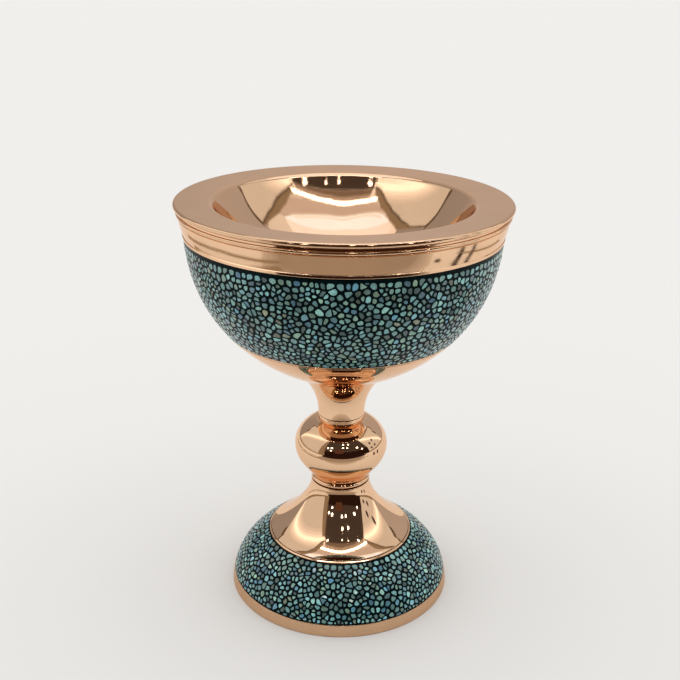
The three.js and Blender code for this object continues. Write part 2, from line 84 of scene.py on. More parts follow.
# Rim. Its reach and heights come from the frame.
FLANGE_RADIUS = reach("basin_liner")
FLANGE_TOP = high("basin_liner")
FLANGE_EDGE = 2.2 * MM
FLANGE_DISH = 0.7 * MM
MOUTH_RADIUS = 60.2 * MM
SHOULDER_RADIUS = 3.4 * MM
BASIN_DEPTH = 37.1 * MM
BASIN_WALL_ANGLE = 32
BASIN_WALL_HANDLE = 18.2 * MM
BASIN_FLOOR_HANDLE = 31.2 * MM
HEM = 1.0 * MM
BEAD = 0.8 * MM
COLLAR_TOP = high("rim_collar")
COLLAR_BOTTOM = low("rim_collar")
COLLAR_RADIUS = reach("rim_collar") - BEAD
COLLAR_BAND = 1.0 * MM
COLLAR_GROOVE = 0.35 * MM
COLLAR_STEP = 0.4 * MM
COLLAR_SWELL = 0.2 * MM
COLLAR_SWELL_STEPS = 12
COLLAR_FOOT_STEP = 0.25 * MM
COLLAR_FOOT_HEIGHT = 1.2 * MM
COLLAR_BAND_RISE = 1.5 * MM
COLLAR_WALL = 2.2 * MM
LIP_RADIUS = COLLAR_RADIUS - COLLAR_WALL - GAP

# Bowl, stem and foot. Their reach and heights come from the frame.
BOWL_RADIUS = reach("bowl_turquoise_inlay")
BOWL_TOP = COLLAR_BOTTOM - GAP
BOWL_SEAT = low("bowl_shell")
BOWL_SEAT_RADIUS = 16.4 * MM
BOWL_BAND = 48 * MM
NECK_BOTTOM = low("stem_neck")
NECK_TOP_RADIUS = reach("stem_neck")
NECK_RADIUS = 11 * MM
NECK_FLARE_ANGLE = 48
KNOP_RADIUS = reach("knop_upper_half")
KNOP_EQUATOR = low("knop_upper_half")
KNOP_BOTTOM = low("knop_lower_half")
KNOP_TOP = NECK_BOTTOM - GAP
KNOP_LIP = 2.1 * MM
KNOP_FOOT_RADIUS = 13.6 * MM
SPIGOT = 3 * MM
STEM_COLLAR_RADIUS = reach("stem_collar")
FOOT_TOP = high("foot_shell")
FOOT_TOP_RADIUS = 14.1 * MM
FOOT_BORDER_RADIUS = 34.1 * MM
FOOT_BORDER = 28.3 * MM
DOME_RADIUS = 52.7 * MM
BASE_TOP = high("base_ring")
BASE_RADIUS = reach("base_ring")
ROD_HOLE = 3.4 * MM

# Curved outlines: the length of the handle at each end, and its angle in degrees
BOWL_SIDE_HANDLE = 36.4 * MM
BOWL_SIDE_ANGLE = -93
BOWL_UNDERSIDE_HANDLE = 30.3 * MM
BOWL_UNDERSIDE_ANGLE = 20
NECK_FLARE_HANDLE = 6.1 * MM
NECK_STRAIGHT_HANDLE = 10.1 * MM
KNOP_SHOULDER_HANDLE = 2 * MM
KNOP_SHOULDER_ANGLE = -1
KNOP_UPPER_SIDE_HANDLE = 8.1 * MM
KNOP_LOWER_SIDE_HANDLE = 7.8 * MM
KNOP_FOOT_HANDLE = 7.5 * MM
KNOP_FOOT_ANGLE = 57
CONE_WAIST_HANDLE = 10 * MM
CONE_BORDER_HANDLE = 6 * MM
CONE_BORDER_ANGLE = 152
DOME_CROWN_HANDLE = 6.6 * MM
DOME_CROWN_ANGLE = -40.2
DOME_SIDE_HANDLE = 12.5 * MM
DOME_SIDE_ANGLE = 103.1

# Chips of the inlay. The seeds give the chance layout of each band.
BOWL_SEED = 5
FOOT_SEED = 8
CHIP_LEAST_SPACING = 1.45 * MM
CHIP_MOST_SPACING = 3.6 * MM
CHIP_ROW_SPACING = 3.3 * MM
CHIP_LEAST_JOINT = 0.3 * MM
CHIP_MOST_JOINT = 0.75 * MM
CHIP_CLEAR_OF_COLLAR = 1.0 * MM
CHIP_LEAST_SIDE = 0.12 * MM
CHIP_SLOPE = 0.12 * MM
CHIP_DEPTH = 0.5 * MM
CHIP_UNEVENNESS = 0.03 * MM
CHIP_TILT = math.radians(1.2)
CHIP_STRETCH = 1.25
CHIP_TRIES = 24000
CHIP_SMALLNESS = 1.4
CHIP_ROW_STRAY_SHARE = 0.22
CHIP_ROW_STRAY = 0.2 * MM
CHIP_ROW_CROWDING = 0.9
CHIP_LEAST_SCALE = 0.45
CHIP_LEAST_WEAR = 0.88
CHIP_MOST_NARROWING = 0.2
CHIP_CORNER_CUT = 0.26
CHIP_FAR_CORNER = 1.08
CHIP_FAR_CORNER_KEPT = 0.5
# The foot chips are made brighter because the foot band faces up: painted light
FOOT_CHIPS_PAINTED_LIGHT = 1.2
CHIP_TONES = [0.3, 0.55, 0.8, 1.05, 1.35, 1.8]
CHIP_TONE_SHARES = [0.08, 0.16, 0.25, 0.25, 0.17, 0.09]
MASTIC_DEPTH = 0.2 * MM

# Fineness of the meshes, and what counts as the same place or as no area
WIDE_SEGMENTS = 192
STEM_SEGMENTS = 144
OUTLINE_STEPS = 400
CURVE_STEPS = 40
FILLET_STEPS = 5
ARC_STEPS = 12
BAND_STEPS = 800
BAND_OVERLAP = 0.25
SHARP_ANGLE = math.radians(35)
UV_PER_METRE = 10
SAME_PLACE = 1e-7
SAME_CENTRE = 1e-9
SAME_CORNER = 1e-6
NO_AREA = 1e-12

# Directions in degrees
UP = 90
DOWN = -90
INWARD = 180
QUARTER_TURN = 90


def bezier(controls, share):
    points = [np.array(c, float) for c in controls]
    while len(points) > 1:
        points = [a + (b - a) * share for a, b in zip(points, points[1:])]
    return points[0]


def polar(start, distance, degrees):
    angle = math.radians(degrees)
    return start[0] + distance * math.cos(angle), start[1] + distance * math.sin(angle)


class Outline:
    """A curved outline in (r, z) that runs from the top down, measured along its length."""

    def __init__(self, controls):
        shares = [i / OUTLINE_STEPS for i in range(OUTLINE_STEPS + 1)]
        self.points = np.array([bezier(controls, share) for share in shares])
        steps = np.hypot(*np.diff(self.points, axis=0).T)
        self.lengths = np.concatenate([[0], np.cumsum(steps)])
        self.length = self.lengths[-1]

    def at(self, length, depth=0.0):
        """Point at a length, sunk square to the outline by a depth."""
        length = np.clip(length, 0, self.length)
        r = np.interp(length, self.lengths, self.points[:, 0])
        z = np.interp(length, self.lengths, self.points[:, 1])
        tangents = np.gradient(self.points, self.lengths, axis=0)
        along_r = np.interp(length, self.lengths, tangents[:, 0])
        along_z = np.interp(length, self.lengths, tangents[:, 1])
        size = np.hypot(along_r, along_z)
        return r + along_z / size * depth, z - along_r / size * depth

    def run(self, start, end, depth=0.0):
        """Points from one length to another, sunk by a depth."""
        r, z = self.at(np.linspace(start, end, CURVE_STEPS + 1), depth)
        return [(float(a), float(b)) for a, b in zip(r, z)]

    def height_at(self, radius):
        order = np.argsort(self.points[:, 0])
        return float(np.interp(radius, self.points[order, 0], self.points[order, 1]))


def bowl_outline():
    top = (BOWL_RADIUS, BOWL_TOP)
    seat = (BOWL_SEAT_RADIUS, BOWL_SEAT)
    side = polar(top, BOWL_SIDE_HANDLE, BOWL_SIDE_ANGLE)
    underside = polar(seat, BOWL_UNDERSIDE_HANDLE, BOWL_UNDERSIDE_ANGLE)
    return Outline([top, side, underside, seat])


def neck_outline():
    top = (NECK_TOP_RADIUS, BOWL.height_at(NECK_TOP_RADIUS) - GAP)
    bottom = (NECK_RADIUS, NECK_BOTTOM)
    flare = polar(top, NECK_FLARE_HANDLE, INWARD + NECK_FLARE_ANGLE)
    return Outline([top, flare, polar(bottom, NECK_STRAIGHT_HANDLE, UP), bottom])


def knop_upper_outline():
    top = (NECK_RADIUS, KNOP_TOP - KNOP_LIP)
    widest = (KNOP_RADIUS, KNOP_EQUATOR)
    shoulder = polar(top, KNOP_SHOULDER_HANDLE, KNOP_SHOULDER_ANGLE)
    return Outline([top, shoulder, polar(widest, KNOP_UPPER_SIDE_HANDLE, UP), widest])


def knop_lower_outline():
    widest = (KNOP_RADIUS, KNOP_EQUATOR)
    foot = (KNOP_FOOT_RADIUS, KNOP_BOTTOM)
    side = polar(widest, KNOP_LOWER_SIDE_HANDLE, DOWN)
    return Outline([widest, side, polar(foot, KNOP_FOOT_HANDLE, KNOP_FOOT_ANGLE), foot])


def cone_outline():
    top = (FOOT_TOP_RADIUS, FOOT_TOP)
    border = (FOOT_BORDER_RADIUS, FOOT_BORDER)
    waist = polar(top, CONE_WAIST_HANDLE, DOWN)
    return Outline([top, waist, polar(border, CONE_BORDER_HANDLE, CONE_BORDER_ANGLE), border])


def dome_outline():
    crown = (FOOT_BORDER_RADIUS, FOOT_BORDER)
    skirt = (DOME_RADIUS, BASE_TOP)
    shoulder = polar(crown, DOME_CROWN_HANDLE, DOME_CROWN_ANGLE)
    return Outline([crown, shoulder, polar(skirt, DOME_SIDE_HANDLE, DOME_SIDE_ANGLE), skirt])


BOWL = bowl_outline()
CONE = cone_outline()
DOME = dome_outline()


def rounded(corners):
    """Points of an outline of (r, z, fillet radius) corners. A fillet of 0 keeps the corner."""
    points = []
    for i, (r, z, fillet) in enumerate(corners):
        here = np.array([r, z])
        if fillet == 0 or i in (0, len(corners) - 1):
            points.append((r, z))
            continue
        before = np.array(corners[i - 1][:2]) - here
        after = np.array(corners[i + 1][:2]) - here
        a = before / np.linalg.norm(before)
        b = after / np.linalg.norm(after)
        half = math.acos(max(-1.0, min(1.0, float(a @ b)))) / 2
        cut = fillet / math.tan(half)
        centre = here + (a + b) / np.linalg.norm(a + b) * fillet / math.sin(half)
        first = here + a * cut - centre
        last = here + b * cut - centre
        turn = math.atan2(first[0] * last[1] - first[1] * last[0], first @ last)
        for step in range(FILLET_STEPS + 1):
            angle = turn * step / FILLET_STEPS
            c, s = math.cos(angle), math.sin(angle)
            turned = (first[0] * c - first[1] * s, first[0] * s + first[1] * c)
            points.append((centre[0] + turned[0], centre[1] + turned[1]))
    return points


def arc(centre, radius, first, last):
    return [polar(centre, radius, first + (last - first) * i / ARC_STEPS) for i in range(ARC_STEPS + 1)]


def lathe(name, points, made, replaced, segments=WIDE_SEGMENTS):
    """A turned piece of one material, from the (r, z) points of its closed section."""
    section = [points[0]]
    for point in points[1:]:
        if math.dist(section[-1], point) >= SAME_PLACE:
            section.append(point)
    on_axis = section[0][0] < SAME_PLACE and section[-1][0] < SAME_PLACE
    if not on_axis and math.dist(section[0], section[-1]) < SAME_PLACE:
        section.pop()
    area = sum(a[0] * b[1] - b[0] * a[1] for a, b in zip(section, section[1:] + section[:1]))
    if area < 0:
        section.reverse()
    turns = math.tau * np.arange(segments) / segments
    vertices, rings = [], []
    for r, z in section:
        if r < SAME_PLACE:
            rings.append([len(vertices)] * segments)
            vertices.append((0, 0, z))
        else:
            rings.append(range(len(vertices), len(vertices) + segments))
            vertices += [(r * math.cos(t), r * math.sin(t), z) for t in turns]
    faces, uvs = [], []
    sides = [math.dist(a, b) for a, b in zip(section, section[1:] + section[:1])]
    along = np.concatenate([[0], np.cumsum(sides)])
    last = len(section) - 1 if on_axis else len(section)
    for i in range(last):
        j = (i + 1) % len(section)
        for k in range(segments):
            n = (k + 1) % segments
            corners = [(rings[i][k], k, i), (rings[i][n], k + 1, i)]
            corners += [(rings[j][n], k + 1, i + 1), (rings[j][k], k, i + 1)]
            if corners[0][0] == corners[1][0]:
                corners.pop(0)
            elif corners[2][0] == corners[3][0]:
                corners.pop(2)
            faces.append([c[0] for c in corners])
            uvs += [(c[1] / segments, along[c[2]] * UV_PER_METRE) for c in corners]
    mesh = bpy.data.meshes.new(name)
    mesh.from_pydata(vertices, [], faces)
    mesh.materials.append(made)
    layer = mesh.uv_layers.new(name="Turned")
    layer.data.foreach_set("uv", [x for uv in uvs for x in uv])
    mesh.shade_smooth()
    mesh.set_sharp_from_angle(angle=SHARP_ANGLE)
    obj = new_object(name, mesh)
    weighted = obj.modifiers.new("Weighted normals", "WEIGHTED_NORMAL")
    weighted.mode = "FACE_AREA"
    weighted.keep_sharp = True
    return add(obj, replaced)


def new_object(name, data):
    obj = bpy.data.objects.new(name, data)
    bpy.context.scene.collection.objects.link(obj)
    return obj


def add(obj, replaced):
    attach(obj, "root")
    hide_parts(replaced)
    return obj


def node(tree, kind, inputs=None, **settings):
    made = tree.nodes.new(kind)
    for key, value in settings.items():
        setattr(made, key, value)
    for key, value in (inputs or {}).items():
        if isinstance(value, bpy.types.NodeSocket):
            tree.links.new(value, made.inputs[key])
        else:
            made.inputs[key].default_value = value
    return made


def ramp(tree, factor, stops):
    made = node(tree, "ShaderNodeValToRGB", {"Fac": factor})
    elements = made.color_ramp.elements
    while len(elements) < len(stops):
        elements.new(0.5)
    for element, (place, colour) in zip(elements, stops):
        element.position = place
        element.color = (*colour, 1)
    return made.outputs["Color"]


def product(tree, a, b):
    return node(tree, "ShaderNodeVectorMath", {0: a, 1: b}, operation="MULTIPLY").outputs["Vector"]


def noise(tree, scale, detail):
    coords = node(tree, "ShaderNodeTexCoord")
    inputs = {"Vector": coords.outputs["Object"], "Scale": scale, "Detail": detail}
    return node(tree, "ShaderNodeTexNoise", inputs).outputs["Fac"]


def span(tree, value, least, most, start=0.3, end=0.7):
    """The value spread over least to most, as it goes from start to end."""
    inputs = {"Value": value, "From Min": start, "From Max": end, "To Min": least, "To Max": most}
    return node(tree, "ShaderNodeMapRange", inputs).outputs["Result"]


def principled(name, **sockets):
    made = bpy.data.materials.new(name)
    made.use_nodes = True
    shader = made.node_tree.nodes["Principled BSDF"]
    for key, value in sockets.items():
        shader.inputs[key.replace("_", " ")].default_value = value
    return made, made.node_tree, shader


def connect(shader, **sockets):
    for key, socket in sockets.items():
        shader.id_data.links.new(socket, shader.inputs[key.replace("_", " ")])


def bump(tree, height, strength, distance):
    inputs = {"Height": height, "Strength": strength, "Distance": distance}
    return node(tree, "ShaderNodeBump", inputs).outputs["Normal"]


def turned_lines(tree, across, around):
    """Noise stretched round the axis, as a turning tool leaves it."""
    coords = node(tree, "ShaderNodeTexCoord")
    inputs = {"Vector": coords.outputs["UV"], "Scale": (around, across, 1)}
    stretched = node(tree, "ShaderNodeMapping", inputs)
    inputs = {"Vector": stretched.outputs["Vector"], "Scale": 1, "Detail": 3}
    return node(tree, "ShaderNodeTexNoise", inputs).outputs["Fac"]


# Materials
EDGE_TINT = (0.97, 0.86, 0.77, 1)
# Colour of the painted shade in the copper's corners and grooves
CORNER_SHADE = (0.30, 0.22, 0.17)
CLOUD_TONE = 0.93
CORNER_REACH = 2 * MM
LINE_DEPTH = 0.02 * MM
STONE_BUMP_DEPTH = 0.05 * MM

# Base colour of the chips by tint, from blue to brown
STONE_TINTS = [
    (0.0, (0.03, 0.12, 0.19)),
    (0.08, (0.06, 0.18, 0.235)),
    (0.2, (0.095, 0.235, 0.255)),
    (0.5, (0.105, 0.25, 0.24)),
    (0.8, (0.125, 0.27, 0.235)),
    (0.95, (0.14, 0.25, 0.18)),
    (1.0, (0.15, 0.17, 0.11)),
]


def copper(name, colour, roughness, spread, lines, strength):
    """Copper sheet: turning lines in the bump and roughness, a cloudy tone, and painted shade that darkens
    it in corners and grooves.
    """
    made, tree, shader = principled(name, Metallic=1.0, Specular_Tint=EDGE_TINT)
    streaks = turned_lines(tree, lines, 3)
    dark = tuple(c * CLOUD_TONE for c in colour)
    tone = ramp(tree, noise(tree, 60, 4), [(0.3, dark), (0.7, colour)])
    # Painted shade: the colour is darker where the ambient occlusion node finds corners and grooves
    corners = node(tree, "ShaderNodeAmbientOcclusion", {"Distance": CORNER_REACH}, samples=8)
    corner_shade = ramp(tree, corners.outputs["AO"], [(0.15, CORNER_SHADE), (0.6, (1, 1, 1))])
    rough = span(tree, streaks, roughness - spread, roughness + spread)
    normal = bump(tree, streaks, strength, LINE_DEPTH)
    connect(shader, Base_Color=product(tree, tone, corner_shade), Roughness=rough, Normal=normal)
    return made


def turquoise():
    """Chips of turquoise under clear lacquer. Each chip has its own tint and tone; the foot band's tone is
    raised as painted light.
    """
    made, tree, shader = principled("turquoise", Roughness=0.4, Coat_Weight=1.0, Coat_Roughness=0.05)
    tint = node(tree, "ShaderNodeAttribute", attribute_name="chip_tint").outputs["Fac"]
    tone = node(tree, "ShaderNodeAttribute", attribute_name="chip_tone_and_painted_light").outputs["Fac"]
    colour = ramp(tree, tint, STONE_TINTS)
    mottle = noise(tree, 1500, 5)
    level = product(tree, span(tree, mottle, 0.6, 1.4), tone)
    normal = bump(tree, mottle, 0.3, STONE_BUMP_DEPTH)
    connect(shader, Base_Color=product(tree, colour, level), Normal=normal)
    return made


def mastic():
    """Black mastic with faint specks."""
    made, tree, shader = principled("black_mastic", Specular_IOR_Level=0.05)
    specks = noise(tree, 700, 5)
    colour = ramp(tree, specks, [(0.35, (0.0006, 0.003, 0.0035)), (0.75, (0.002, 0.009, 0.01))])
    connect(shader, Base_Color=colour, Roughness=span(tree, specks, 0.1, 0.3, 0, 1))
    return made


def steel():
    """Plain turned steel of the rod, nuts and washers."""
    made, tree, shader = principled("turned_steel", Metallic=1.0)
    clouds = noise(tree, 400, 4)
    tone = ramp(tree, clouds, [(0.3, (0.36, 0.36, 0.35)), (0.7, (0.50, 0.50, 0.49))])
    connect(shader, Base_Color=tone, Roughness=span(tree, clouds, 0.3, 0.5, 0, 1))
    return made


COPPER = (0.93, 0.61, 0.39)
# A darker copy of the copper colour for the satin ring: painted shade
SHADED_SATIN_COPPER = (0.68, 0.43, 0.26)
POLISHED = copper("polished_copper", COPPER, 0.05, 0.02, 300, 0.1)
SPUN = copper("spun_copper", COPPER, 0.045, 0.02, 400, 0.2)
TURNED = copper("turned_copper", COPPER, 0.10, 0.06, 700, 0.25)
SATIN = copper("satin_copper", SHADED_SATIN_COPPER, 0.28, 0.1, 500, 0.5)
TURQUOISE = turquoise()
MASTIC = mastic()
STEEL = steel()


def basin_liner():
    """Basin and flange from one sheet, with the edge hemmed under."""
    nose_radius = FLANGE_EDGE / 2
    nose = (FLANGE_RADIUS - nose_radius, FLANGE_TOP - nose_radius)
    throat = (MOUTH_RADIUS, FLANGE_TOP - FLANGE_DISH - SHOULDER_RADIUS)
    square = UP + math.degrees(math.atan2(FLANGE_DISH, nose[0] - MOUTH_RADIUS))
    wall = INWARD - BASIN_WALL_ANGLE
    shoulder = arc(throat, SHOULDER_RADIUS, square, wall)
    floor = (0.0, FLANGE_TOP - BASIN_DEPTH)
    wall_top = shoulder[-1]
    wall_handle = polar(wall_top, BASIN_WALL_HANDLE, wall + QUARTER_TURN)
    basin = Outline([wall_top, wall_handle, (BASIN_FLOOR_HANDLE, floor[1]), floor])
    inside = basin.run(0, basin.length)
    outside = basin.run(basin.length, 0, -LINER)
    outside[0] = (0.0, floor[1] - LINER)
    back = arc(throat, SHOULDER_RADIUS - LINER, wall, square)
    under = FLANGE_TOP - FLANGE_EDGE + HEM
    hem = LIP_RADIUS + GAP
    underside = [(LIP_RADIUS - SHELL - GAP, under), (hem, under), (hem, FLANGE_TOP - FLANGE_EDGE)]
    edge = arc(nose, nose_radius, DOWN, square)
    section = outside + back + underside + edge + shoulder + inside
    return lathe("basin_and_flange", section, SPUN, "basin_liner")


def rim_collar():
    """Ring round the lip: narrow band, bead, groove and a plain tapering band."""
    bead_top = COLLAR_TOP - COLLAR_BAND
    bead_bottom = bead_top - 2 * BEAD
    bead = arc((COLLAR_RADIUS, bead_top - BEAD), BEAD, UP, DOWN)
    lower = BOWL_RADIUS + COLLAR_STEP
    band_top = np.array([COLLAR_RADIUS, bead_bottom - 2 * COLLAR_GROOVE])
    band_bottom = np.array([lower - COLLAR_FOOT_STEP, COLLAR_BOTTOM + COLLAR_BAND_RISE])
    swell = []
    for i in range(1, COLLAR_SWELL_STEPS):
        share = i / COLLAR_SWELL_STEPS
        bulge = np.array([COLLAR_SWELL * math.sin(math.pi * share), 0])
        swell.append(tuple(band_top + (band_bottom - band_top) * share + bulge))
    section = rounded([
        (LIP_RADIUS + GAP, COLLAR_TOP, 0),
        (COLLAR_RADIUS, COLLAR_TOP, EDGE),
        (COLLAR_RADIUS, bead_top, 0),
    ])
    section += bead
    section += rounded([
        (COLLAR_RADIUS, bead_bottom, 0),
        (COLLAR_RADIUS - COLLAR_GROOVE, bead_bottom, 0),
        (COLLAR_RADIUS - COLLAR_GROOVE, bead_bottom - COLLAR_GROOVE, FINE_EDGE),
        (*band_top, FINE_EDGE),
        swell[0] + (0,),
    ])
    section += swell[1:-1]
    section += rounded([
        swell[-1] + (0,),
        (*band_bottom, FINE_EDGE),
        (lower, COLLAR_BOTTOM + COLLAR_FOOT_HEIGHT, FINE_EDGE),
        (lower, COLLAR_BOTTOM, EDGE),
        (BOWL_RADIUS - TROUGH + GAP, COLLAR_BOTTOM, 0),
    ])
    return lathe("rim_collar_ring", section, TURNED, "rim_collar")


def bowl_shell():
    """Outer shell: lip, trough for the inlay, polished underside and the seat."""
    step = BOWL_BAND + WIRE_SEAT
    lip_top = FLANGE_TOP - FLANGE_EDGE + HEM - GAP
    inner = TROUGH + SHELL
    section = [(LIP_RADIUS - SHELL, lip_top), (LIP_RADIUS, lip_top)]
    section += BOWL.run(0, step, TROUGH)
    guide = BOWL.at(step + CORNER_GUIDE)
    section += rounded([(*BOWL.at(step, TROUGH), 0), (*BOWL.at(step), STEP_EDGE), (*guide, 0)])[:-1]
    section += BOWL.run(step + STEP_RUN_IN, BOWL.length)
    section += [(ROD_HOLE, BOWL_SEAT), (ROD_HOLE, BOWL_SEAT + SHELL)]
    section += BOWL.run(BOWL.length, step + SHELL, SHELL)
    section += BOWL.run(step + SHELL, 0, inner)
    return lathe("bowl_outer_shell", section, POLISHED, "bowl_shell")


def border_wire(name, replaced, outline, start):
    """Wire at the edge of a trough. Its face is dressed level and slightly rounded."""
    end = start + WIRE_WIDTH
    deep = TROUGH - GAP
    corners = [
        (*outline.at(start, deep), 0),
        (*outline.at(start, 0), WIRE_EDGE),
        (*outline.at(end, 0), WIRE_EDGE),
        (*outline.at(end, deep), 0),
    ]
    return lathe(name, rounded(corners), POLISHED, replaced)


def mastic_fill(name, replaced, outline, start, end):
    """Mastic between the chips, a little lower than their faces, down to the trough."""
    section = outline.run(start, end, MASTIC_DEPTH)
    section += outline.run(end, start, TROUGH - GAP)
    return lathe(name, section, MASTIC, replaced)


def stem_neck():
    neck = neck_outline()
    inside = neck.run(neck.length, 0, STEM)
    top_inner = NECK_TOP_RADIUS - STEM / math.sin(math.radians(NECK_FLARE_ANGLE))
    inside[-1] = (top_inner, BOWL.height_at(top_inner) - GAP)
    section = neck.run(0, neck.length) + inside
    return lathe("neck_trumpet", section, POLISHED, "stem_neck", segments=STEM_SEGMENTS)


def knop_upper_half():
    upper = knop_upper_outline()
    inside = upper.run(upper.length, 0, STEM)
    inside[0] = (KNOP_RADIUS - STEM, KNOP_EQUATOR)
    spigot = NECK_RADIUS - STEM - GAP
    bore = spigot - STEM
    section = upper.run(0, upper.length) + inside
    section += [(bore, inside[-1][1]), (bore, KNOP_TOP + SPIGOT), (spigot, KNOP_TOP + SPIGOT)]
    section += rounded([(spigot, KNOP_TOP, 0), (NECK_RADIUS, KNOP_TOP, EDGE), (*upper.at(0), 0)])
    return lathe("knop_top_half", section, POLISHED, "knop_upper_half", segments=STEM_SEGMENTS)


def knop_lower_half():
    lower = knop_lower_outline()
    seat = KNOP_BOTTOM + STEM
    inside = [p for p in lower.run(lower.length, 0, STEM) if p[1] > seat]
    inside[-1] = (KNOP_RADIUS - STEM, KNOP_EQUATOR)
    section = lower.run(0, lower.length)
    section += [(ROD_HOLE, KNOP_BOTTOM), (ROD_HOLE, seat), (KNOP_FOOT_RADIUS - STEM, seat)] + inside
    return lathe("knop_bottom_half", section, POLISHED, "knop_lower_half", segments=STEM_SEGMENTS)


def stem_collar():
    bottom, top = low("stem_collar"), high("stem_collar")
    half = (top - bottom) / 2
    nose = arc((STEM_COLLAR_RADIUS - half, bottom + half), half, DOWN, UP)
    section = [(ROD_HOLE, bottom)] + nose + [(ROD_HOLE, top)]
    return lathe("stem_ring", section, POLISHED, "stem_collar", segments=STEM_SEGMENTS)


def foot_shell():
    """Top seat, trumpet cone, domed trough and a skirt inside the base ring."""
    inner = TROUGH + SHELL
    skirt = DOME.at(DOME.length, TROUGH)
    skirt_inside = DOME.at(DOME.length, inner)
    cone_end = CONE.length - CONE_RUN_OUT
    guide = CONE.at(CORNER_GUIDE)
    section = rounded([(ROD_HOLE, FOOT_TOP, 0), (FOOT_TOP_RADIUS, FOOT_TOP, EDGE), (*guide, 0)])[:-1]
    section += CONE.run(FOOT_SEAT_RUN_IN, cone_end)
    section += rounded([
        (*CONE.at(cone_end), 0),
        (*CONE.at(CONE.length), CONE_EDGE),
        (*DOME.at(0, TROUGH), 0),
    ])
    section += DOME.run(WIRE_SEAT, DOME.length, TROUGH)
    section += [(skirt[0], GAP), (skirt_inside[0], GAP), skirt_inside]
    section += DOME.run(DOME.length, WIRE_SEAT, inner)
    section += [CONE.at(CONE.length - SHELL, inner)]
    section += CONE.run(CONE.length - 2 * SHELL, STEM, SHELL)
    section += [(ROD_HOLE, FOOT_TOP - STEM)]
    return lathe("foot_trumpet", section, POLISHED, "foot_shell")


def base_ring():
    inner = DOME.at(DOME.length, TROUGH)[0] + GAP
    shelf = DOME.at(DOME.length, TROUGH - GAP)[1]
    section = rounded([
        (inner, 0.0, 0),
        (BASE_RADIUS, 0.0, EDGE),
        (DOME_RADIUS, BASE_TOP, BASE_EDGE),
        (inner, shelf, 0),
    ])
    return lathe("standing_ring", section, SATIN, "base_ring")


def chip_centres(outline, start, end, seed):
    """Chips as rows of turn, length, spacing and radius: an upper row, then more where there is room."""
    random = np.random.RandomState(seed)
    row_length = start + CHIP_ROW_SPACING / 2
    row_radius = float(outline.at(row_length)[0])
    count = int(math.tau * row_radius / CHIP_ROW_SPACING)
    stray = random.uniform(-CHIP_ROW_STRAY_SHARE, CHIP_ROW_STRAY_SHARE, count)
    row_turns = (np.arange(count) + stray) * math.tau / count
    kept = np.zeros((count, 4))
    kept[:, 0] = row_turns % math.tau
    kept[:, 1] = row_length + random.uniform(-CHIP_ROW_STRAY, CHIP_ROW_STRAY, count)
    kept[:, 2] = CHIP_ROW_SPACING * CHIP_ROW_CROWDING
    kept[:, 3] = row_radius
    turns = random.uniform(0, math.tau, CHIP_TRIES)
    lengths = random.uniform(start, end, CHIP_TRIES)
    share = random.uniform(0, 1, CHIP_TRIES) ** CHIP_SMALLNESS
    leans = random.uniform(0, math.pi, CHIP_TRIES)
    spacings = CHIP_LEAST_SPACING + (CHIP_MOST_SPACING - CHIP_LEAST_SPACING) * share
    radii, _ = outline.at(lengths)
    for turn, length, spacing, radius, lean in zip(turns, lengths, spacings, radii, leans):
        apart = ((kept[:, 0] - turn + math.pi) % math.tau - math.pi) * radius
        below = kept[:, 1] - length
        lengthwise = apart * math.cos(lean) + below * math.sin(lean)
        sidewise = below * math.cos(lean) - apart * math.sin(lean)
        distance = np.hypot(lengthwise / CHIP_STRETCH, sidewise * CHIP_STRETCH)
        if (distance > (kept[:, 2] + spacing) / 2).all():
            kept = np.vstack([kept, (turn, length, spacing, radius)])
    return kept


def chip_cells(outline, start, end, seed):
    """Cell round each chip's centre, in a flat layout of the band.

    The layout has turns in radians across and, along it, the length over the radius. Chips near
    an edge are mirrored past it, and the ends of the layout repeat each other.
    """
    centres = chip_centres(outline, start, end, seed)
    steps = np.linspace(start, end, BAND_STEPS)
    radii, _ = outline.at(steps)
    rise = np.concatenate([[0], np.cumsum(np.diff(steps) * 2 / (radii[1:] + radii[:-1]))])
    flat = np.stack([centres[:, 0], np.interp(centres[:, 1], steps, rise)], axis=1)
    turn = (math.tau, 0)
    after = flat[flat[:, 0] < BAND_OVERLAP] + turn
    before = flat[flat[:, 0] > math.tau - BAND_OVERLAP] - turn
    wrapped = np.vstack([flat, after, before])
    near_start = wrapped[wrapped[:, 1] < BAND_OVERLAP / 2] * (1, -1)
    near_end = wrapped[wrapped[:, 1] > rise[-1] - BAND_OVERLAP / 2] * (1, -1) + (0, 2 * rise[-1])
    points = np.vstack([wrapped, near_start, near_end])
    parts = delaunay_2d_cdt([Vector(p) for p in points], [], [], 0, SAME_CENTRE)
    corners, _, triangles, origin = parts[:4]
    index = [o[0] for o in origin]
    cells = [[] for _ in points]
    for triangle in triangles:
        a, b, c = (np.array(corners[v]) for v in triangle)
        twice = 2 * (a[0] * (b[1] - c[1]) + b[0] * (c[1] - a[1]) + c[0] * (a[1] - b[1]))
        if abs(twice) < NO_AREA:
            continue
        squares = [p @ p for p in (a, b, c)]
        x = (squares[0] * (b[1] - c[1]) + squares[1] * (c[1] - a[1]) + squares[2] * (a[1] - b[1])) / twice
        y = (squares[0] * (c[0] - b[0]) + squares[1] * (a[0] - c[0]) + squares[2] * (b[0] - a[0])) / twice
        for v in triangle:
            cells[index[v]].append((x, y))
    made = []
    for i in range(len(flat)):
        ring = np.array(cells[i])
        ring[:, 1] = np.clip(ring[:, 1], 0, rise[-1])
        angles = np.arctan2(ring[:, 1] - flat[i, 1], ring[:, 0] - flat[i, 0])
        ring = ring[np.argsort(angles)]
        keep = np.hypot(*(ring - np.roll(ring, 1, axis=0)).T) > SAME_CORNER
        made.append(ring[keep])
    return made, steps, rise


def cut_corners(ring):
    following = np.roll(ring, -1, axis=0)
    cut = np.empty((2 * len(ring), 2))
    cut[0::2] = ring * (1 - CHIP_CORNER_CUT) + following * CHIP_CORNER_CUT
    cut[1::2] = ring * CHIP_CORNER_CUT + following * (1 - CHIP_CORNER_CUT)
    return cut


